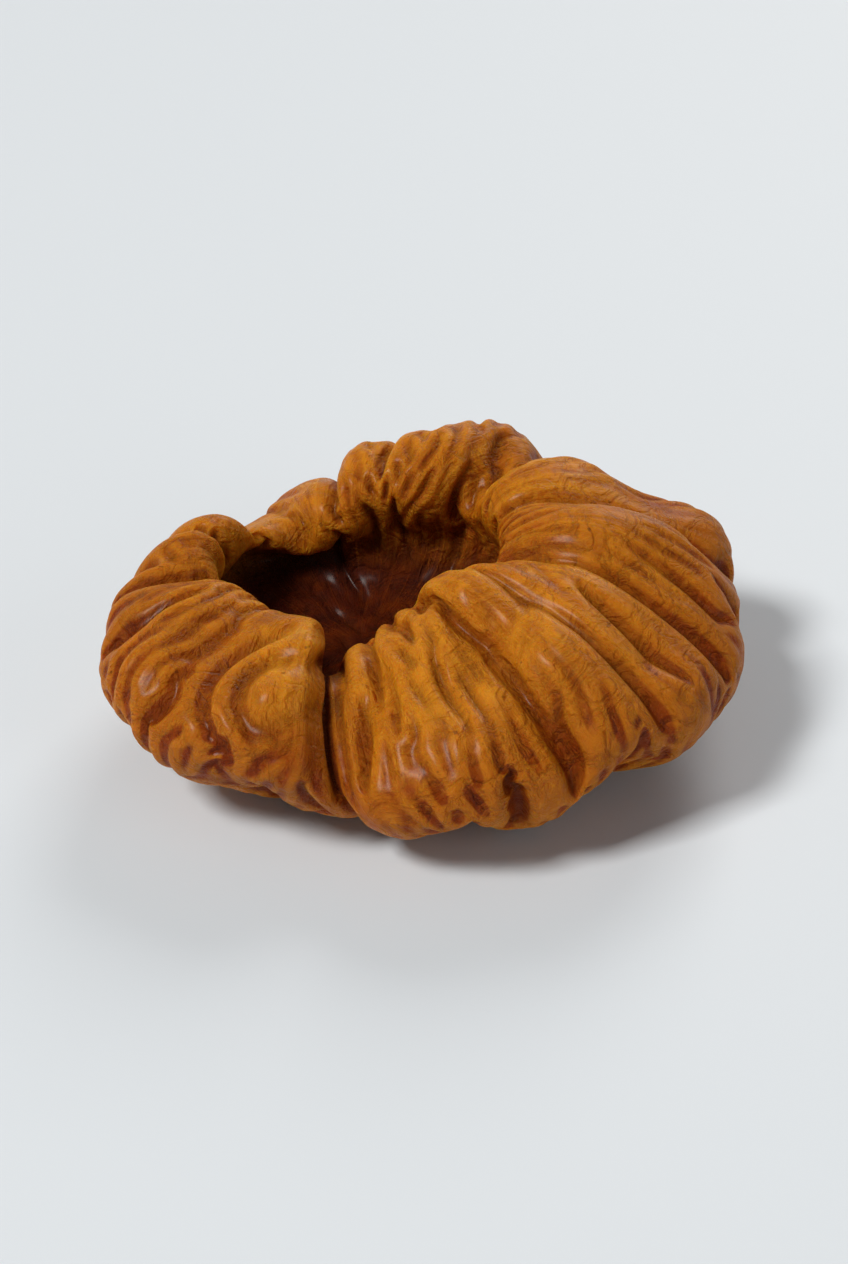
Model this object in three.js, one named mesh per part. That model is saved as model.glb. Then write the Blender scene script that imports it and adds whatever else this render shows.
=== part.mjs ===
// Dried peach half, natural size, millimetres, +Z up, resting on its skin side with the pit hollow open upwards.
// One closed body: the pit hollow, the flesh rolled over into a thick rim, the shrunken skin side and the small flat it rests on.
// The body is a meridian profile swept round the pit: every control value of the profile varies with the angle round the fruit,
// so the outline, the height of the rim and the reach of its lip are as uneven as drying leaves them.
import * as THREE from "three";
import { mergeVertices } from "three/addons/utils/BufferGeometryUtils.js";

// ---- driving dimensions ----
const UNIT = 0.99; // shrinkage of the whole half, against the millimetres below
const DETAIL = 19; // subdivisions of the starting sphere: 20 (DETAIL + 1)^2 triangles
const FLOOR = 4.2; // height of the bottom of the pit hollow
const NOTCH = -104; // degrees: where the rim is split, in front and left of centre
// each quantity round the fruit is a mean, harmonics [k, mm, phase degrees] and single lumps [at, width below, width above, mm], angles in degrees
const OUTER = { // reach of the outer wall from the axis
  mean: 22.3,
  harmonics: [[1, 2.6, 24], [2, 1.3, -12], [3, 0.6, 52], [5, 0.4, 126]],
  lumps: [[-150, 22, 22, 1.5], [NOTCH, 8, 8, -1.5], [-74, 17, 17, 1.0], [41, 11, 11, -1.3], [16, 13, 13, 1.0],
    [124, 10, 10, -1.2], [100, 12, 12, 0.8], [-27, 8, 8, -0.9]],
};
const CREST = { // height of the rolled rim
  mean: 13.9,
  harmonics: [[1, 2.7, -2], [2, 0.6, -46], [3, 0.45, 115]],
  lumps: [[-146, 18, 18, 0.9], [NOTCH, 9, 32, -3.2], [-50, 15, 15, 1.1], [78, 20, 20, 1.0], [42, 13, 13, -1.9],
    [160, 18, 18, 1.5], [123, 14, 14, -1.6], [-28, 11, 11, -0.9]],
};
const HOLLOW = { // reach of the hollow left by the stone
  mean: 9.3,
  harmonics: [[2, 1.5, 16], [3, 0.5, -23]],
  lumps: [],
};
const LIP = { // reach of the lip that rolls in over the hollow
  mean: 8.6,
  harmonics: [[2, 1.5, -12], [1, 0.4, 120]],
  lumps: [[NOTCH, 8, 15, 3.2], [-146, 16, 16, -1.6], [-50, 15, 15, -0.5], [104, 22, 22, -0.1], [30, 16, 16, 0.8],
    [60, 11, 11, -0.7], [140, 10, 10, -0.6]],
};
const QUIET = 13; // degrees either side of the split that stay free of folds and swells, so the split stays open
const HOLLOW_AT = [-4.4, 2.9], WALL_AT = [0.9, -0.2]; // the hollow sits left of and behind the middle of the fruit
const LOBE_ROLL = [-127, 14, 13, 0.25]; // the left lobe curls over the split: at, widths, radians
const RIDGE_ROLL = [-84, 10, 12, -0.15]; // and the right side leans to meet it
const LOBE_LIFT = [-118, 10, 10, 0.9];
const CURL_AT = [-9.6, -14.6, 11.9]; // middle of the coil on the left lobe
const FOLDS = 12, FOLD_HEIGHT = 0.85; // folds that gather the flesh over the rim
// slow swells left by shrinkage: wave vector (1/mm), phase, height (mm)
const SWELLS = [
  [0.31, 0.12, 0.22, 0.3, 0.42], [-0.17, 0.33, 0.15, 1.9, 0.4], [0.09, -0.24, 0.37, 4.1, 0.34], [0.43, 0.27, -0.18, 2.6, 0.24],
  [-0.39, 0.31, 0.33, 5.2, 0.2], [0.62, -0.35, 0.21, 0.9, 0.15], [0.24, 0.66, 0.37, 3.3, 0.15], [-0.55, -0.5, 0.46, 1.2, 0.12],
];
const SWELL_HEIGHT = 0.9;

// ---- helpers ----
const { PI, sin, cos, sqrt, exp, max, min, floor, atan2, acos } = Math;
const D = PI / 180;
const turn = (a) => a - 2 * PI * floor((a + PI) / (2 * PI));
const lump = (th, at, below, above) => {
  const d = turn(th - at * D);
  return exp(-0.5 * (d / ((d < 0 ? below : above) * D)) ** 2);
};
const ease = (a, b, x) => {
  const t = min(max((x - a) / (b - a), 0), 1);
  return t * t * (3 - 2 * t);
};
const around = (q, th) =>
  q.harmonics.reduce((s, [k, mm, ph]) => s + mm * cos(k * th + ph * D), q.mean) +
  q.lumps.reduce((s, [at, below, above, mm]) => s + mm * lump(th, at, below, above), 0);

// The meridian at angle th: a cubic B-spline from the middle of the hollow (u = 0) up the hollow wall, over the lip and the
// rim, down the outer wall and under to the middle of the skin side (u = 1). Mirrored end points keep both middles smooth.
function profile(u, th) {
  const R = around(OUTER, th), H = around(CREST, th), rc = around(HOLLOW, th), rl = around(LIP, th), w = R - rl;
  const p = [
    [0, FLOOR], [0.46 * rc, FLOOR + 0.1], [0.98 * rc, FLOOR + 1.3], [1.2 * rc, FLOOR + 0.5 * (H - FLOOR)],
    [rl, H - 2.5], [rl + 0.2 * w, H + 0.85], [rl + 0.55 * w, H + 0.55], [rl + 0.93 * w, 0.82 * H],
    [1.055 * R, 0.58 * H], [0.9 * R, 0.26 * H], [0.6 * R, 1.0], [0.29 * R, -0.45], [0, -0.7],
  ];
  const n = p.length - 1;
  p.unshift([-p[1][0], p[1][1]]);
  p.push([-p[n][0], p[n][1]]);
  const t = min(max(u, 0), 1) * n, i = min(floor(t), n - 1), f = t - i;
  const b = [(1 - f) ** 3 / 6, (3 * f ** 3 - 6 * f * f + 4) / 6, (-3 * f ** 3 + 3 * f * f + 3 * f + 1) / 6, f ** 3 / 6];
  let r = 0, z = 0;
  for (let k = 0; k < 4; k++) {
    r += b[k] * p[i + k][0];
    z += b[k] * p[i + k][1];
  }
  return [r, z];
}

// The smooth body, before folds and swells: the rim leans round at the split, and the hollow is off the middle.
function base(u, th) {
  const [r, z] = profile(u, th);
  const roll = ease(0.24, 0.36, u) * (1 - ease(0.58, 0.78, u));
  const a = th + roll * (LOBE_ROLL[3] * lump(th, ...LOBE_ROLL.slice(0, 3)) + RIDGE_ROLL[3] * lump(th, ...RIDGE_ROLL.slice(0, 3)));
  const k = ease(0.3, 0.85, u);
  return new THREE.Vector3(
    HOLLOW_AT[0] + (WALL_AT[0] - HOLLOW_AT[0]) * k + r * cos(a),
    HOLLOW_AT[1] + (WALL_AT[1] - HOLLOW_AT[1]) * k + r * sin(a),
    z + LOBE_LIFT[3] * roll * lump(th, ...LOBE_LIFT.slice(0, 3)),
  );
}

function normal(u, th) {
  if (u < 2e-3) return new THREE.Vector3(0, 0, 1);
  if (u > 1 - 2e-3) return new THREE.Vector3(0, 0, -1);
  const e = 1e-3;
  const du = base(min(u + e, 1), th).sub(base(max(u - e, 0), th)), dt = base(u, th + e).sub(base(u, th - e));
  return du.cross(dt).normalize();
}

const swells = (p) =>
  SWELLS.reduce((s, [kx, ky, kz, ph, mm]) =>
    s + mm * sin(kx * p.x + ky * p.y + kz * p.z + ph + 0.6 * sin(0.21 * p.y - 0.17 * p.x + ph)), 0);

// The coil on the left lobe: a low boss inside rings that fade away from the split.
function coil(p) {
  const dx = p.x - CURL_AT[0], dy = p.y - CURL_AT[1], dz = p.z - CURL_AT[2];
  const a = 0.86 * dx - 0.5 * dy, b = 0.8 * dz + 0.6 * (0.5 * dx + 0.86 * dy);
  const r2 = a * a + b * b, r = sqrt(r2 + 0.2), al = atan2(b, a);
  const ring = (at) => exp(-(((r - at) / 0.8) ** 2)), side = 0.5 - 0.5 * cos(al + 0.5);
  return 0.75 * exp(-r2 / 3.6) - 0.5 * ring(2.7) * (0.2 + 0.8 * side) + 0.25 * ring(4.1) * side - 0.25 * ring(5.4) * side;
}

function relief(u, th, p) {
  const psi = FOLDS * th + 1.5 * sin(2 * th + 0.5) + 1.1 * sin(3 * th + 2.1) + 0.8 * sin(5 * th + 4) + 2.6 * (u - 0.4) * sin(2 * th + 1);
  const amount = (0.58 + 0.3 * sin(3 * th + 1) + 0.2 * sin(7 * th + 2)) * (1 - 0.8 * lump(th, -136, 19, 19));
  const fold = 2 * sqrt(0.5 * (1 + cos(psi)) + 0.03) - 1.25; // round crests, sharp valleys
  const reach = (0.3 * ease(0.14, 0.3, u) + 0.7 * ease(0.3, 0.46, u)) * (1 - ease(0.54, 0.82, u));
  const quiet = 1 - lump(th, NOTCH, QUIET, QUIET) * (1 - ease(0.62, 0.8, u));
  return quiet * (FOLD_HEIGHT * amount * fold * reach + SWELL_HEIGHT * swells(p) * ease(0.1, 0.34, u)) +
    coil(p) * ease(0.34, 0.4, u) * (1 - ease(0.72, 0.84, u));
}

// ---- the body ----
const sphere = new THREE.IcosahedronGeometry(1, DETAIL);
sphere.deleteAttribute("normal");
sphere.deleteAttribute("uv");
const geometry = mergeVertices(sphere, 1e-5);
const pos = geometry.getAttribute("position");
for (let i = 0; i < pos.count; i++) {
  const x = pos.getX(i), y = pos.getY(i), z = pos.getZ(i);
  const u = acos(min(max(z / sqrt(x * x + y * y + z * z), -1), 1)) / PI, th = atan2(y, x);
  const p = base(u, th), q = p.clone().addScaledVector(normal(u, th), relief(u, th, p)).multiplyScalar(UNIT);
  pos.setXYZ(i, q.x, q.y, max(q.z, 0)); // it rests on the small flat where the skin side is pressed against the table
}
geometry.computeBoundingBox();
const middle = geometry.boundingBox.getCenter(new THREE.Vector3());
geometry.translate(-middle.x, -middle.y, -geometry.boundingBox.min.z);
geometry.computeVertexNormals();

const flesh = new THREE.Mesh(
  geometry,
  new THREE.MeshStandardMaterial({ color: new THREE.Color(0xa8580c), roughness: 0.46, metalness: 0 }),
);
flesh.name = "dried_peach_half";

const part = new THREE.Group();
part.add(flesh);
export default part;
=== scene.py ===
# Dried peach half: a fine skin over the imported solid's shape, wrinkled by a thin-skin simulation, with amber dried-fruit flesh.
# Lengths are in millimetres inside the shape and wrinkle functions, and in metres from the mesh on.
import bpy, math
import numpy as np
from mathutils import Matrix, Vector
from mathutils.bvhtree import BVHTree


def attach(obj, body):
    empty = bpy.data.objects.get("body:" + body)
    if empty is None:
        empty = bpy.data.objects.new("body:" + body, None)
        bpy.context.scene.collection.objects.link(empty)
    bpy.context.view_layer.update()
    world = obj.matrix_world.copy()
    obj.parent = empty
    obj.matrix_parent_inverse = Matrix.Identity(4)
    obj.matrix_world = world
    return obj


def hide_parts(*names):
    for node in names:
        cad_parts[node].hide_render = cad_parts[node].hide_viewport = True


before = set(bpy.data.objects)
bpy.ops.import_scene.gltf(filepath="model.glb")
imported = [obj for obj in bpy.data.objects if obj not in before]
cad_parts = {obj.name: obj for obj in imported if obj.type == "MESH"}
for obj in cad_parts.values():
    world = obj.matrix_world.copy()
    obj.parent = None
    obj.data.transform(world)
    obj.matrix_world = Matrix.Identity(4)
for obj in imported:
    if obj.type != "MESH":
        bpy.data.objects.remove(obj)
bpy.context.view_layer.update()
NODE = "dried_peach_half"

# ------------------------------------------------------------------ the shape, as the CAD has it
D = np.pi / 180
UNIT = 0.99
SHIFT = np.array([0.867728, -0.384317])
NOTCH = -104.0
FLOOR = 4.2
OUTER = dict(mean=22.3, harm=[(1, 2.6, 24), (2, 1.3, -12), (3, 0.6, 52), (5, 0.4, 126)],
    lumps=[(-150, 22, 22, 1.5), (NOTCH, 8, 8, -1.5), (-74, 17, 17, 1.0), (41, 11, 11, -1.3), (16, 13, 13, 1.0),
           (124, 10, 10, -1.2), (100, 12, 12, 0.8), (-27, 8, 8, -0.9)])
CREST = dict(mean=13.9, harm=[(1, 2.7, -2), (2, 0.6, -46), (3, 0.45, 115)],
    lumps=[(-146, 18, 18, 0.9), (NOTCH, 9, 32, -3.2), (-50, 15, 15, 1.1), (78, 20, 20, 1.0), (42, 13, 13, -1.9),
           (160, 18, 18, 1.5), (123, 14, 14, -1.6), (-28, 11, 11, -0.9)])
HOLLOW = dict(mean=9.3, harm=[(2, 1.5, 16), (3, 0.5, -23)], lumps=[])
LIP = dict(mean=8.6, harm=[(2, 1.5, -12), (1, 0.4, 120)],
    lumps=[(NOTCH, 8, 15, 3.2), (-146, 16, 16, -1.6), (-50, 15, 15, -0.5), (104, 22, 22, -0.1), (30, 16, 16, 0.8),
           (60, 11, 11, -0.7), (140, 10, 10, -0.6)])
SWELLS = [(0.31, 0.12, 0.22, 0.3, 0.42), (-0.17, 0.33, 0.15, 1.9, 0.40), (0.09, -0.24, 0.37, 4.1, 0.34),
          (0.43, 0.27, -0.18, 2.6, 0.24), (-0.39, 0.31, 0.33, 5.2, 0.20), (0.62, -0.35, 0.21, 0.9, 0.15),
          (0.24, 0.66, 0.37, 3.3, 0.15), (-0.55, -0.50, 0.46, 1.2, 0.12)]
CURL = (-9.6, -14.6, 11.9)


def wrap(a):
    return (a + np.pi) % (2 * np.pi) - np.pi


def lump(th, at, wl, wr):
    d = wrap(th - at * D)
    d = d / (np.where(d < 0, wl, wr) * D)
    return np.exp(-0.5 * d * d)


def ease(a, b, x):
    t = np.clip((x - a) / (b - a), 0, 1)
    return t * t * (3 - 2 * t)


def around(t, th):
    v = t["mean"] + 0 * th
    for k, mm, ph in t["harm"]:
        v = v + mm * np.cos(k * th + ph * D)
    for at, wl, wr, mm in t["lumps"]:
        v = v + mm * lump(th, at, wl, wr)
    return v


def profile(u, th):
    R, H, rc, rl = around(OUTER, th), around(CREST, th), around(HOLLOW, th), around(LIP, th)
    w = R - rl
    o = 0 * th + 1
    P = [(0 * o, FLOOR * o), (0.46 * rc, (FLOOR + 0.1) * o), (0.98 * rc, (FLOOR + 1.3) * o), (1.20 * rc, FLOOR + 0.50 * (H - FLOOR)),
         (rl, H - 2.5), (rl + 0.20 * w, H + 0.85), (rl + 0.55 * w, H + 0.55), (rl + 0.93 * w, 0.82 * H), (R * 1.055, 0.58 * H),
         (0.90 * R, 0.26 * H), (0.60 * R, 1.0 * o), (0.29 * R, -0.45 * o), (0 * R, -0.7 * o)]
    n = len(P) - 1
    r = np.array([p[0] for p in P])
    z = np.array([p[1] for p in P])
    r = np.concatenate([-r[1:2], r, -r[n - 1:n]])
    z = np.concatenate([z[1:2], z, z[n - 1:n]])
    t = np.clip(u, 0, 1) * n
    i = np.minimum(t.astype(int), n - 1)
    f = t - i
    b = [(1 - f) ** 3 / 6, (3 * f ** 3 - 6 * f ** 2 + 4) / 6, (-3 * f ** 3 + 3 * f ** 2 + 3 * f + 1) / 6, f ** 3 / 6]
    idx = np.arange(len(th))
    return sum(b[k] * r[i + k, idx] for k in range(4)), sum(b[k] * z[i + k, idx] for k in range(4))


def base(u, th):
    r, z = profile(u, th)
    roll = ease(0.24, 0.36, u) * (1 - ease(0.58, 0.78, u))
    t2 = th + roll * (0.25 * lump(th, -127, 14, 13) - 0.15 * lump(th, -84, 10, 12))
    z = z + 0.9 * roll * lump(th, -118, 10, 10)
    k = ease(0.30, 0.85, u)
    return np.stack([-4.4 + 5.3 * k + r * np.cos(t2), 2.9 - 3.1 * k + r * np.sin(t2), z], 1)


def swells(p):
    s = 0
    for kx, ky, kz, ph, a in SWELLS:
        s = s + a * np.sin(kx * p[:, 0] + ky * p[:, 1] + kz * p[:, 2] + ph + 0.6 * np.sin(0.21 * p[:, 1] - 0.17 * p[:, 0] + ph))
    return s


def coil(p):
    d = p - np.array(CURL)
    a = d[:, 0] * 0.86 - d[:, 1] * 0.50
    b = d[:, 2] * 0.80 + (d[:, 0] * 0.50 + d[:, 1] * 0.86) * 0.60
    r2 = a * a + b * b
    r = np.sqrt(r2 + 0.2)
    side = 0.5 - 0.5 * np.cos(np.arctan2(b, a) + 0.5)
    ring = lambda at: np.exp(-((r - at) / 0.8) ** 2)
    return 0.75 * np.exp(-r2 / 3.6) - 0.50 * ring(2.7) * (0.2 + 0.8 * side) + 0.25 * ring(4.1) * side - 0.25 * ring(5.4) * side


def relief(u, th, p):
    psi = 12 * th + 1.5 * np.sin(2 * th + 0.5) + 1.1 * np.sin(3 * th + 2.1) + 0.8 * np.sin(5 * th + 4.0) + 2.6 * (u - 0.4) * np.sin(2 * th + 1.0)
    amp = (0.58 + 0.30 * np.sin(3 * th + 1.0) + 0.2 * np.sin(7 * th + 2.0)) * (1 - 0.8 * lump(th, -136, 19, 19))
    f = 2 * np.sqrt(0.5 * (1 + np.cos(psi)) + 0.03) - 1.25
    d = 0.85 * amp * f * (0.30 * ease(0.14, 0.30, u) + 0.70 * ease(0.30, 0.46, u)) * (1 - ease(0.54, 0.82, u))
    d = d + 0.9 * swells(p) * ease(0.10, 0.34, u)
    d = d * (1 - lump(th, NOTCH, 13, 13) * (1 - ease(0.62, 0.80, u)))
    return d + coil(p) * ease(0.34, 0.40, u) * (1 - ease(0.72, 0.84, u))


def normal(u, th):
    e = 1e-3
    n = np.cross(base(np.clip(u + e, 0, 1), th) - base(np.clip(u - e, 0, 1), th), base(u, th + e) - base(u, th - e))
    l = np.linalg.norm(n, axis=1, keepdims=True)
    n = np.where(l > 1e-12, n / np.maximum(l, 1e-15), 0)
    n[u < 2e-3] = [0, 0, 1]
    n[u > 1 - 2e-3] = [0, 0, -1]
    return n


def split(u, th):
    """The pinched line that runs on down the front from the split in the rim."""
    d = wrap(th - (NOTCH + 0.8 + 1.6 * np.sin(9 * u)) * D) / (2.0 * D)
    return -0.75 * np.exp(-np.abs(d) ** 1.4) * ease(0.34, 0.44, u) * (1 - ease(0.60, 0.80, u))


def surface(u, th):
    p = base(u, th)
    q = (p + normal(u, th) * (relief(u, th, p) + split(u, th))[:, None]) * UNIT
    q[:, :2] -= SHIFT
    q[:, 2] = np.maximum(q[:, 2], 0)
    return q


# ------------------------------------------------------------------ a sphere of six square grids
class Grid:
    def __init__(self, N):
        self.N = N
        t = np.tan(np.linspace(-np.pi / 4, np.pi / 4, N + 1))
        A, B = np.meshgrid(t, t, indexing="ij")
        O = np.ones_like(A)
        V = np.concatenate([np.stack(f, -1).reshape(-1, 3) for f in
                            ((O, A, B), (-O, B, A), (B, O, A), (A, -O, B), (A, B, O), (B, A, -O))])
        V /= np.linalg.norm(V, axis=1, keepdims=True)
        _, first, inv = np.unique(np.round(V * 1e6).astype(np.int64), axis=0, return_index=True, return_inverse=True)
        self.idx = inv.ravel()                       # six (N+1)^2 squares -> shared vertices
        self.unit = V[first]
        n = N + 1
        i, j = np.meshgrid(np.arange(N), np.arange(N), indexing="ij")
        quads, cells = [], []
        for k in range(6):
            a = k * n * n + i * n + j
            quads.append(np.stack([a, a + n, a + n + 1, a + 1], -1).reshape(-1, 4))
            cells.append(np.stack([0 * i + k, i, j], -1).reshape(-1, 3))
        self.quads = self.idx[np.concatenate(quads)]
        self.cells = np.concatenate(cells)
        q = self.quads
        e = np.concatenate([q[:, [0, 1]], q[:, [1, 2]], q[:, [2, 3]], q[:, [3, 0]]])
        e = np.unique(np.sort(e, 1), axis=0)
        self.axial = e
        self.diag = np.concatenate([q[:, [0, 2]], q[:, [1, 3]]])
        self.nv = len(self.unit)
        self.deg = np.bincount(e.ravel(), minlength=self.nv).astype(float)
        self.u = np.arccos(np.clip(self.unit[:, 2], -1, 1)) / np.pi
        self.th = np.arctan2(self.unit[:, 1], self.unit[:, 0])

    def lap(self, d):
        i, j = self.axial[:, 0], self.axial[:, 1]
        out = np.empty_like(d)
        for c in range(d.shape[1]):
            v = d[:, c]
            out[:, c] = (np.bincount(i, v[j], self.nv) + np.bincount(j, v[i], self.nv)) / self.deg - v
        return out

    def smooth(self, d, n, w=0.8):
        for _ in range(n):
            d = d + w * self.lap(d)
        return d

    def normals(self, X):
        q = self.quads
        n = np.cross(X[q[:, 2]] - X[q[:, 0]], X[q[:, 3]] - X[q[:, 1]])
        out = np.stack([sum(np.bincount(q[:, k], n[:, c], self.nv) for k in range(4)) for c in range(3)], 1)
        return out / np.maximum(np.linalg.norm(out, axis=1, keepdims=True), 1e-15)


def refine(coarse, fine, D3):
    """Vertex vectors of the coarse grid, on the fine grid of twice its count."""
    n, m = coarse.N + 1, fine.N + 1
    g = D3[coarse.idx].reshape(6, n, n, 3)
    out = np.empty((6, m, m, 3))
    out[:, ::2, ::2] = g
    out[:, 1::2, ::2] = 0.5 * (g[:, 1:] + g[:, :-1])
    out[:, ::2, 1::2] = 0.5 * (g[:, :, 1:] + g[:, :, :-1])
    out[:, 1::2, 1::2] = 0.25 * (g[:, 1:, 1:] + g[:, :-1, 1:] + g[:, 1:, :-1] + g[:, :-1, :-1])
    d = np.zeros((fine.nv, 3))
    d[fine.idx] = out.reshape(-1, 3)
    return fine.smooth(d, 2, 0.5)


# ------------------------------------------------------------------ smooth seeded noise in space
def value_noise(p, scale, seed):
    """Value noise in -1..1 from a hashed lattice, the same on every run."""
    q = p / scale + 1000.0
    i = np.floor(q).astype(np.int64)
    f = q - i
    f = f * f * f * (f * (6 * f - 15) + 10)
    s = 0
    for cx in (0, 1):
        for cy in (0, 1):
            for cz in (0, 1):
                h = ((i[:, 0] + cx) * 73856093) ^ ((i[:, 1] + cy) * 19349663) ^ ((i[:, 2] + cz) * 83492791) ^ (seed * 2654435761)
                h = (h ^ (h >> 13)) * 1274126177 & 0xFFFFFFFF
                h = (h ^ (h >> 16)) & 0xFFFF
                w = (f[:, 0] if cx else 1 - f[:, 0]) * (f[:, 1] if cy else 1 - f[:, 1]) * (f[:, 2] if cz else 1 - f[:, 2])
                s = s + w * (h / 32767.5 - 1)
    return s


# ------------------------------------------------------------------ the wrinkles: a thin skin that is too large for the flesh it is bound to
def wrinkle(g, X0, iso, hoop, wave, steps, seed, gain, kick=0.02, soft=0.012, keep=200):
    """Skin edges want to be longer by iso everywhere and by hoop across the meridians. The skin resists stretch and bending,
    the flesh under it pulls it back, so it buckles at a wavelength of about wave mm. Damped motion, fixed steps.
    What is wider than the folds is taken out again, so that the whole keeps its size."""
    i, j = g.axial[:, 0], g.axial[:, 1]
    L = np.linalg.norm(X0[j] - X0[i], axis=1)
    h = (np.bincount(i, L, g.nv) + np.bincount(j, L, g.nv)) / g.deg
    ratio = np.clip((wave / (2 * math.pi * h)) ** 2, 0.8, 9.0)[:, None]
    kb = soft * ratio
    kf = soft / ratio
    e = 1e-3
    hoopdir = base(g.u, g.th + e) - base(g.u, g.th - e)
    hoopdir /= np.maximum(np.linalg.norm(hoopdir, axis=1, keepdims=True), 1e-12)
    sets = []
    for E in (g.axial, g.diag):
        i, j = E[:, 0], E[:, 1]
        v = X0[j] - X0[i]
        L = np.linalg.norm(v, axis=1)
        c = np.abs((v * (hoopdir[i] + hoopdir[j]) * 0.5).sum(1)) / np.maximum(L, 1e-9)
        grow = 1 + 0.5 * (iso[i] + iso[j]) + 0.5 * (hoop[i] + hoop[j]) * np.clip(c, 0, 1) ** 2
        sets.append((i, j, np.maximum(L * grow, 1e-6), 1.0 if E is g.axial else 0.5))
    n = g.normals(X0)
    Dv = n * (kick * value_noise(X0, 0.9, seed))[:, None]
    Vv = np.zeros_like(Dv)
    dt, damp = 0.42, 0.10
    for s in range(steps):
        X = X0 + Dv
        F = -kf * Dv
        l1 = g.lap(Dv)
        F -= 16 * g.lap(kb * l1)
        for i, j, L, k in sets:
            d = X[j] - X[i]
            l = np.sqrt((d * d).sum(1)) + 1e-9
            w = k * (1 - L / l)
            for c in range(3):
                f = w * d[:, c]
                F[:, c] += np.bincount(i, f, g.nv) - np.bincount(j, f, g.nv)
        Vv = (Vv + dt * F) * (1 - damp)
        Dv = Dv + dt * Vv
    Dv = Dv - g.smooth(Dv, keep)
    # dried folds have round crests and pinched valleys
    n = g.normals(X0)
    hn = (Dv * n).sum(1)
    a = 1.5 * np.sqrt(np.maximum(g.smooth((hn * hn)[:, None], 60)[:, 0], 0)) + 1e-3
    x = hn / a
    t = np.clip(x, -1, 1)
    sharp = a * (2 * np.sqrt(0.5 * (1.04 + t)) - 1.27 + 0.5 * np.maximum(x - 1, 0) + 0.9 * np.minimum(x + 1, 0))
    return Dv + n * (gain * sharp - hn)[:, None]


def part_folds(g, X0, X):
    """Where two folds have run into each other, both go back towards the bare shape until they are apart."""
    X[:, 2] = np.maximum(X[:, 2], 0)
    tri = np.concatenate([g.quads[:, [0, 1, 2]], g.quads[:, [0, 2, 3]]])
    faces = tri.tolist()
    for _ in range(6):
        tree = BVHTree.FromPolygons(X.tolist(), faces, all_triangles=True)
        pairs = np.array(tree.overlap(tree), dtype=np.int64).reshape(-1, 2)
        pairs = pairs[pairs[:, 0] < pairs[:, 1]]
        a, b = tri[pairs[:, 0]], tri[pairs[:, 1]]
        pairs = pairs[~(a[:, :, None] == b[:, None, :]).any((1, 2))]
        if not len(pairs):
            break
        m = np.zeros(g.nv)
        m[np.unique(tri[pairs])] = 1
        m = np.clip(3 * g.smooth(m[:, None], 8)[:, 0], 0, 1)
        X = X + (X0 - X) * (0.5 * m)[:, None]
    return X


def build(N):
    fine, coarse = Grid(N), Grid(N // 2)
    X0 = surface(fine.u, fine.th)
    Xc = surface(coarse.u, coarse.th)

    def fields(g, X):
        u, th = g.u, g.th
        patch = 0.5 + 0.5 * value_noise(X, 7.0, 3) + 0.25 * value_noise(X, 3.5, 4)
        near = lump(th, NOTCH, 9, 8) * (1 - ease(0.58, 0.72, u))     # the split: its two sides stay apart
        rim = ease(0.16, 0.32, u) * (1 - ease(0.56, 0.74, u))
        skin = ease(0.56, 0.74, u)
        pit = 1 - ease(0.16, 0.30, u)
        swirl = lump(th, -128, 16, 12) * rim
        front = lump(th, -78, 14, 26) * rim
        flat = ease(0.86, 0.94, u)
        right = lump(th, -30, 34, 34) * ease(0.36, 0.50, u)           # the broad right side is the smoothest
        patch = patch - 0.40 * right
        iso = 0.030 * rim + 0.055 * skin + 0.05 * pit
        iso = iso * np.clip(0.30 + 1.2 * patch, 0.15, 1.5) * (1 - 0.6 * flat)
        hoop = (0.10 * rim + 0.09 * front) * np.clip(0.30 + 1.1 * patch, 0.12, 1.4) + 0.075 * skin * np.clip(0.40 + 0.9 * patch, 0.15, 1.3) * (1 - 0.7 * flat)
        k = (1 - 0.85 * near) * (1 - 0.75 * swirl)
        return iso * k, hoop * k
    iso, hoop = fields(coarse, Xc)
    Dc = wrinkle(coarse, Xc, 0.75 * iso, 0.65 * hoop, 4.6, 240, 11, 1.15, soft=0.012, keep=200)
    X1 = X0 + refine(coarse, fine, Dc)
    iso, hoop = fields(fine, X1)
    Df = wrinkle(fine, X1, 0.55 * iso, 1.1 * hoop, 2.0, 260, 12, 1.8, soft=0.010, keep=120)
    return fine, X0, part_folds(fine, X0, X1 + Df), (Df * fine.normals(X1)).sum(1)


def fan(n, rings):
    """n fixed directions spread over a half sphere about +Z, denser towards the middle."""
    k = np.arange(n) + 0.5
    r = np.sqrt(k / n) * rings
    a = k * 2.399963
    return np.stack([r * np.cos(a), r * np.sin(a), np.sqrt(np.maximum(1 - r * r, 0))], 1)


def closed_in(g, X, tree, n, reach, side=1.0, rings=0.97):
    """How near the surface is to itself, seen from each vertex: 0 with nothing within reach, 1 when it is shut in."""
    N = g.normals(X) * side
    t = np.cross(N, np.where(np.abs(N[:, 2:]) < 0.9, [[0, 0, 1.0]], [[1.0, 0, 0]]))
    t /= np.linalg.norm(t, axis=1, keepdims=True)
    b = np.cross(N, t)
    turn = 6.2832 * np.modf(np.arange(len(X)) * 0.618034)[0]
    c, s_ = np.cos(turn)[:, None], np.sin(turn)[:, None]
    t, b = t * c + b * s_, b * c - t * s_
    start = (X + N * 0.03).tolist()
    got = np.zeros(len(X))
    cast = tree.ray_cast
    for d in fan(n, rings):
        R = (t * d[0] + b * d[1] + N * d[2]).tolist()
        dist = [cast(p, r, reach)[3] for p, r in zip(start, R)]
        dist = np.array([reach if v is None else v for v in dist])
        got += 1 - dist / reach
    return got / n


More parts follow.
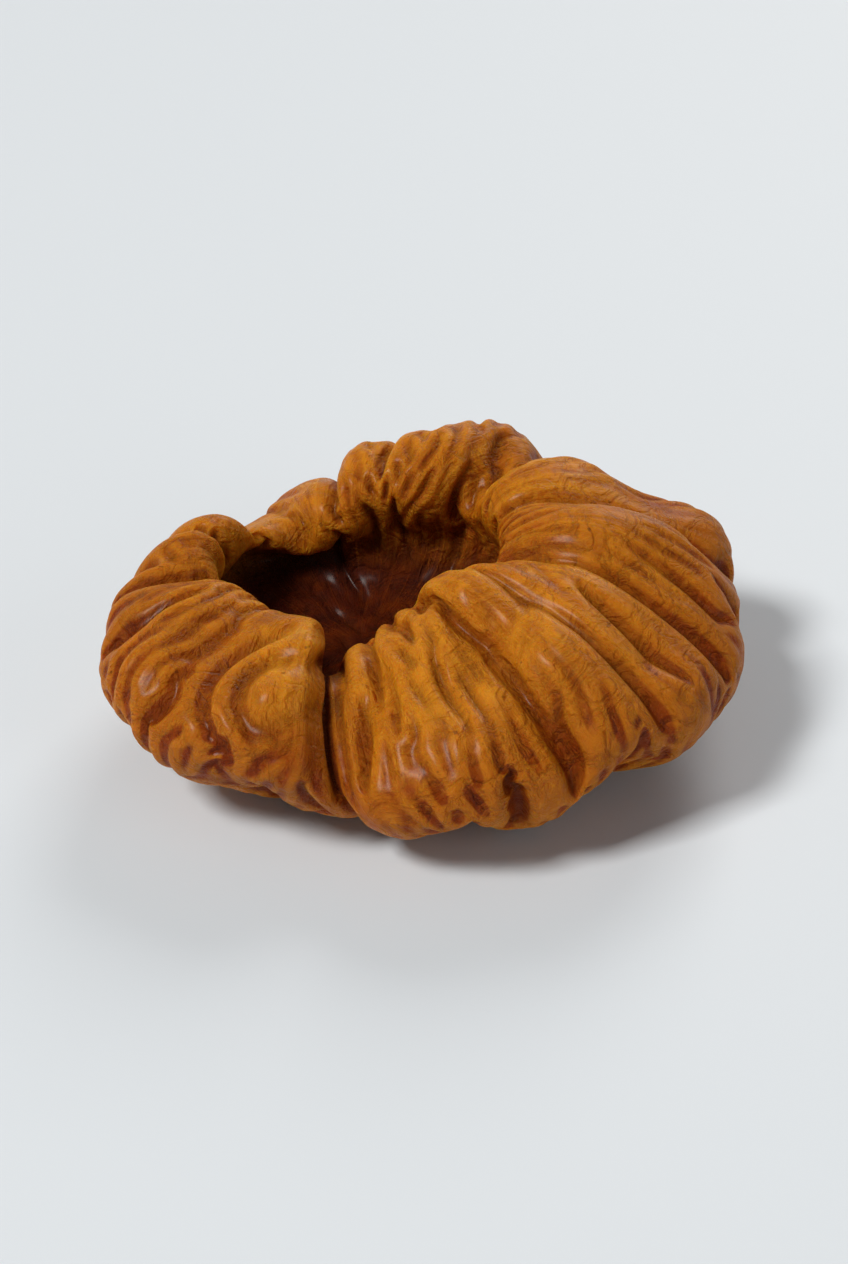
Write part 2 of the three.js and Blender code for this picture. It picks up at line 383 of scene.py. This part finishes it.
def light_ways(g, X):
    """How far a point lies inside a crease and inside the hollow, and how thick the flesh is behind it."""
    tree = BVHTree.FromPolygons(X.tolist(), g.quads.tolist())
    near = closed_in(g, X, tree, 12, 5.0)
    far = closed_in(g, X, tree, 6, 22.0)
    thick = closed_in(g, X, tree, 5, 9.0, -1.0, 0.6)
    sm = lambda v, n: g.smooth(v[:, None], n)[:, 0]
    return np.stack([sm(near, 2), sm(far, 6)], 1), 1 - sm(thick, 8)


grid, X0, X, fineh = build(128)
X[:, 2] = np.maximum(X[:, 2], 0)
shut, thick = light_ways(grid, X)

# ------------------------------------------------------------------ what the material reads: where a point is, and whether it is on a crest or in a crease
N3 = grid.normals(X)
fold_fine = ((X - grid.smooth(X, 12)) * N3).sum(1)

me = bpy.data.meshes.new("peach_flesh")
me.from_pydata((X * 0.001).tolist(), [], grid.quads.tolist())
me.update()
me.polygons.foreach_set("use_smooth", [True] * len(me.polygons))


def attribute(name, values):
    a = me.attributes.new(name, "FLOAT", "POINT")
    a.data.foreach_set("value", np.asarray(values, dtype=np.float32))


attribute("along", grid.u)
attribute("fold_fine", fold_fine)
attribute("shut_near", shut[:, 0])
attribute("shut_far", shut[:, 1])
attribute("thick", thick)
deep = 0.50 * ease(0.44, 0.68, grid.u) + 0.55 * lump(grid.th, 178, 34, 34) * ease(0.36, 0.48, grid.u)
deep += 0.55 * lump(grid.th, -6, 26, 30) * ease(0.40, 0.54, grid.u) + 0.40 * value_noise(X0, 8.0, 21) + 0.20 * value_noise(X0, 3.6, 22)
attribute("deep", np.clip(deep, 0, 1))
painted_glow = (lump(grid.th, -124, 13, 9) + lump(grid.th, -66, 22, 26)) * ease(0.31, 0.40, grid.u) * (1 - ease(0.50, 0.64, grid.u))
painted_glow += 0.6 * lump(grid.th, 95, 22, 22) * ease(0.31, 0.40, grid.u) * (1 - ease(0.46, 0.58, grid.u))
attribute("painted_glow", np.clip(painted_glow * (0.75 + 0.5 * value_noise(X0, 4.0, 23)), 0, 1))
fib = me.attributes.new("fibre", "FLOAT_VECTOR", "POINT")
fib.data.foreach_set("vector", np.stack([8 * np.cos(grid.th), 8 * np.sin(grid.th), 3.0 * grid.u], 1).astype(np.float32).ravel())

uv = me.uv_layers.new(name="OFBake")
k, i, j = grid.cells[:, 0], grid.cells[:, 1], grid.cells[:, 2]
corners = []
for di, dj in ((0, 0), (1, 0), (1, 1), (0, 1)):
    cu = (k % 3 + 0.02 + 0.96 * (i + di) / grid.N) / 3
    cv = (k // 3 + 0.02 + 0.96 * (j + dj) / grid.N) / 2
    corners.append(np.stack([cu, cv], -1))
uv.data.foreach_set("uv", np.stack(corners, 1).astype(np.float32).ravel())

peach = bpy.data.objects.new("peach_flesh", me)
bpy.context.scene.collection.objects.link(peach)
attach(peach, "root")
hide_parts(NODE)

# ------------------------------------------------------------------ material
mat = bpy.data.materials.new("dried_flesh")
mat.use_nodes = True
nt = mat.node_tree
nt.nodes.clear()


def node(kind, **kw):
    n = nt.nodes.new(kind)
    for a, b in kw.items():
        setattr(n, a, b)
    return n


def put(sock, v):
    if isinstance(v, bpy.types.NodeSocket):
        nt.links.new(v, sock)
    else:
        sock.default_value = v


def attr(name, out="Fac"):
    return node("ShaderNodeAttribute", attribute_name=name).outputs[out]


def math_(op, a, b=None, clamp=False):
    n = node("ShaderNodeMath", operation=op, use_clamp=clamp)
    put(n.inputs[0], a)
    if b is not None:
        put(n.inputs[1], b)
    return n.outputs[0]


def remap(v, a, b, c=0.0, d=1.0, smooth=True):
    n = node("ShaderNodeMapRange", interpolation_type="SMOOTHSTEP" if smooth else "LINEAR", clamp=True)
    put(n.inputs["Value"], v)
    for s, x in zip(("From Min", "From Max", "To Min", "To Max"), (a, b, c, d)):
        put(n.inputs[s], x)
    return n.outputs["Result"]


def mix(fac, a, b, blend="MIX"):
    n = node("ShaderNodeMix", data_type="RGBA", blend_type=blend)
    put(n.inputs["Factor"], fac)
    for s, v in ((n.inputs[6], a), (n.inputs[7], b)):
        put(s, (*v, 1) if isinstance(v, tuple) and len(v) == 3 else v)
    return n.outputs[2]


def noise(vec, scale, detail=3, rough=0.55, distort=0.0, lac=2.0):
    n = node("ShaderNodeTexNoise")
    put(n.inputs["Vector"], vec)
    for s, v in (("Scale", scale), ("Detail", detail), ("Roughness", rough), ("Distortion", distort), ("Lacunarity", lac)):
        put(n.inputs[s], v)
    return n.outputs["Fac"]


def scaled(vec, xyz):
    n = node("ShaderNodeVectorMath", operation="MULTIPLY")
    put(n.inputs[0], vec)
    put(n.inputs[1], xyz)
    return n.outputs[0]


def times(a, b):
    return math_("MULTIPLY", a, b)


def ridged(v):
    """Round tops with pinched lines between them, from a noise that is 0.5 on average."""
    return math_("ABSOLUTE", math_("SUBTRACT", v, 0.5))


pos = node("ShaderNodeTexCoord").outputs["Object"]           # metres
along = attr("along")
ff = attr("fold_fine")
near = attr("shut_near")
far = attr("shut_far")
thick = attr("thick")
deep = attr("deep")                                           # 1 toward the skin side, at the left and right ends and in patches: made a deeper red orange
fibre = attr("fibre", "Vector")

hollow = remap(along, 0.17, 0.33, 1, 0)                       # 1 in the pit hollow
outer = remap(along, 0.48, 0.70)                              # 1 on the skin side
crest = times(remap(along, 0.32, 0.41), remap(along, 0.64, 0.46))     # 1 on the rim band, made more golden below
streak = noise(scaled(fibre, (1, 1, 0.55)), 1.75, 4, 0.60, 0.30)      # streaks that run from the pit outwards
streak_fine = noise(scaled(fibre, (1, 1, 0.45)), 4.4, 4, 0.62, 0.35)
mottle = noise(pos, 230, 5, 0.62, 0.7)                        # patches of about 4 mm
mottle_big = noise(pos, 70, 3, 0.55, 0.4)
cells = noise(pos, 950, 3, 0.60, 0.3)
lines = ridged(noise(pos, 420, 4, 0.55, 0.9))                 # a net of thin pinched lines, about 2 mm apart

PALE, GOLD, AMBER, ORANGE = (0.66, 0.255, 0.012), (0.53, 0.170, 0.004), (0.43, 0.100, 0.0015), (0.32, 0.055, 0.001)
RUST, BROWN, MAROON, DEEP = (0.20, 0.026, 0.001), (0.115, 0.013, 0.001), (0.060, 0.0060, 0.0015), (0.022, 0.0022, 0.001)

flesh = mix(remap(mottle_big, 0.38, 0.62), ORANGE, AMBER)
flesh = mix(times(remap(mottle, 0.46, 0.66), 0.75), flesh, GOLD)
flesh = mix(times(crest, remap(mottle, 0.34, 0.60, 0.25, 0.85)), flesh, GOLD)
flesh = mix(times(remap(streak, 0.50, 0.68), remap(crest, 0, 1, 0.30, 0.75)), flesh, PALE)
flesh = mix(times(remap(streak, 0.49, 0.34), 0.60), flesh, RUST)
flesh = mix(times(remap(streak_fine, 0.55, 0.72), 0.50), flesh, PALE)
flesh = mix(times(remap(streak_fine, 0.45, 0.30), 0.45), flesh, RUST)

skin = mix(remap(mottle_big, 0.40, 0.60), AMBER, ORANGE)
skin = mix(times(remap(mottle, 0.48, 0.68), 0.60), skin, RUST)
skin = mix(times(remap(mottle, 0.46, 0.32), 0.55), skin, GOLD)
colour = mix(outer, flesh, skin)
colour = mix(times(remap(cells, 0.52, 0.68), 0.35), colour, PALE)      # clear grains just under the surface
colour = mix(times(remap(cells, 0.46, 0.32), 0.40), colour, RUST)
colour = mix(times(remap(lines, 0.030, 0.004), remap(mottle_big, 0.42, 0.60, 0.15, 0.60)), colour, BROWN)

colour = mix(times(deep, 0.95), colour, (0.62, 0.42, 0.5), "MULTIPLY")

# painted glow: the coil and the front of the rim are made the palest gold
colour = mix(times(attr("painted_glow"), remap(mottle, 0.34, 0.62, 0.30, 0.75)), colour, PALE)

# painted glow: thin flesh is made paler as if light came through it, and painted highlight: fine crests are made pale
# and golden
colour = mix(times(remap(thick, 0.92, 0.35), 0.55), colour, PALE)
colour = mix(remap(ff, 0.0, 0.090, 0, 0.38, False), colour, PALE)
# painted shade: creases are darkened and reddened by how shut in they are, the deeper the more
grain = math_("ADD", times(math_("SUBTRACT", mottle, 0.5), 0.45), times(math_("SUBTRACT", cells, 0.5), 0.40))
edge = math_("ADD", near, times(grain, remap(near, 0.0, 0.20)))      # the painted crease shade is made patchy
colour = mix(remap(edge, 0.0, 0.60, 0, 1, False), colour, (0.56, 0.38, 0.4), "MULTIPLY")
colour = mix(remap(edge, 0.40, 0.85, 0, 0.80), colour, MAROON)
colour = mix(remap(ff, -0.010, -0.300, 0, 0.5, False), colour, (0.76, 0.60, 0.5), "MULTIPLY")

# the pit hollow: a darker red of its own, and painted shade toward DEEP where the hollow is shut in
pit = mix(remap(mottle, 0.42, 0.66), MAROON, (0.125, 0.017, 0.001))
pit = mix(times(remap(streak_fine, 0.54, 0.70), 0.60), pit, (0.26, 0.050, 0.002))
pit = mix(remap(near, 0.06, 0.40, 0, 0.8), pit, DEEP)
pit = mix(remap(far, 0.25, 0.75, 0, 0.75), pit, DEEP)
colour = mix(hollow, colour, pit)
# small dark specks
speck = remap(noise(pos, 1500, 2, 0.5), 0.69, 0.75)
colour = mix(times(speck, 0.45), colour, MAROON)

rough = remap(mottle, 0.35, 0.70, 0.40, 0.60)
rough = math_("ADD", rough, times(outer, 0.06))
rough = math_("ADD", rough, times(math_("MAXIMUM", remap(near, 0.05, 0.4), hollow), 0.20))
rough = math_("ADD", rough, times(remap(cells, 0.35, 0.65), 0.10), clamp=True)

height = times(remap(lines, 0.0, 0.10), 0.50)
height = math_("ADD", height, times(ridged(noise(pos, 1050, 3, 0.58, 0.6)), 0.85))
height = math_("ADD", height, times(noise(pos, 3000, 2, 0.6), 0.16))
b1 = node("ShaderNodeBump")
b1.inputs["Strength"].default_value = 0.85
b1.inputs["Distance"].default_value = 0.00058
put(b1.inputs["Height"], height)
b2 = node("ShaderNodeBump")
b2.inputs["Strength"].default_value = 0.8
b2.inputs["Distance"].default_value = 0.00045
put(b2.inputs["Height"], math_("ADD", streak_fine, times(streak, 0.6)))
put(b2.inputs["Normal"], b1.outputs[0])

bsdf = node("ShaderNodeBsdfPrincipled")
put(bsdf.inputs["Base Color"], colour)
put(bsdf.inputs["Roughness"], rough)
put(bsdf.inputs["Normal"], b2.outputs[0])
bsdf.inputs["IOR"].default_value = 1.45
bsdf.inputs["Specular IOR Level"].default_value = 0.14
bsdf.inputs["Specular Tint"].default_value = (1.0, 0.84, 0.62, 1)
bsdf.inputs["Subsurface Weight"].default_value = 0.62
bsdf.inputs["Subsurface Radius"].default_value = (1.0, 0.45, 0.05)
bsdf.inputs["Subsurface Scale"].default_value = 0.0026
bsdf.inputs["Coat Weight"].default_value = 0.10
bsdf.inputs["Coat Roughness"].default_value = 0.22
out = node("ShaderNodeOutputMaterial")
nt.links.new(bsdf.outputs[0], out.inputs[0])
me.materials.append(mat)

# ------------------------------------------------------------------ floor, light, camera
def plain(name, colour, rough):
    m = bpy.data.materials.new(name)
    m.use_nodes = True
    b = m.node_tree.nodes["Principled BSDF"]
    b.inputs["Base Color"].default_value = (*colour, 1)
    b.inputs["Roughness"].default_value = rough
    return m


S = 1.6
fm = bpy.data.meshes.new("floor")
fm.from_pydata([(-S, -S, 0), (S, -S, 0), (S, S, 0), (-S, S, 0)], [], [(0, 1, 2, 3)])
floor = bpy.data.objects.new("floor", fm)
fm.materials.append(plain("pale_floor", (0.72, 0.775, 0.835), 0.6))
bpy.context.scene.collection.objects.link(floor)


def area(name, loc, size, energy, colour=(1, 1, 1), aim=(0, 0, 0.008)):
    l = bpy.data.lights.new(name, "AREA")
    l.shape = "SQUARE"
    l.size = size
    l.energy = energy
    l.color = colour
    o = bpy.data.objects.new(name, l)
    bpy.context.scene.collection.objects.link(o)
    o.location = loc
    o.rotation_mode = "QUATERNION"
    o.rotation_quaternion = (Vector(aim) - Vector(loc)).to_track_quat("-Z", "Y")


area("key", (-0.90, -0.50, 1.30), 0.45, 23.0, (1.0, 0.97, 0.92))
area("fill", (1.38, -0.90, 0.78), 1.05, 3.5, (1.0, 0.98, 0.95))
area("back", (0.50, 1.40, 0.90), 0.80, 12.0, (1.0, 0.97, 0.93))
w = bpy.data.worlds.new("studio")
w.use_nodes = True
wt = w.node_tree
geo = wt.nodes.new("ShaderNodeTexCoord")
sep = wt.nodes.new("ShaderNodeSeparateXYZ")
ramp = wt.nodes.new("ShaderNodeMapRange")          # pale at the horizon, dim overhead
ramp.interpolation_type = "SMOOTHSTEP"
for name_, v in (("From Min", 0.05), ("From Max", 0.45), ("To Min", 0.62), ("To Max", 0.10)):
    ramp.inputs[name_].default_value = v
wt.links.new(geo.outputs["Generated"], sep.inputs[0])
wt.links.new(sep.outputs["Z"], ramp.inputs["Value"])
wt.links.new(ramp.outputs["Result"], wt.nodes["Background"].inputs[1])
wt.nodes["Background"].inputs[0].default_value = (1.0, 0.985, 0.965, 1)
sc = bpy.context.scene
sc.world = w
sc.view_settings.view_transform = "Standard"

cam = bpy.data.cameras.new("camera")
co = bpy.data.objects.new("camera", cam)
sc.collection.objects.link(co)
sc.camera = co
cam.sensor_fit = "HORIZONTAL"
cam.sensor_width = 24
cam.lens = 85
cam.clip_start = 0.01
el = math.radians(35)
aim = Vector((0.0, 0.0, 0.0075))
back = Vector((0, -math.cos(el), math.sin(el)))
co.location = aim + back * 0.235
co.rotation_mode = "QUATERNION"
co.rotation_quaternion = (-back).to_track_quat("-Z", "Y")
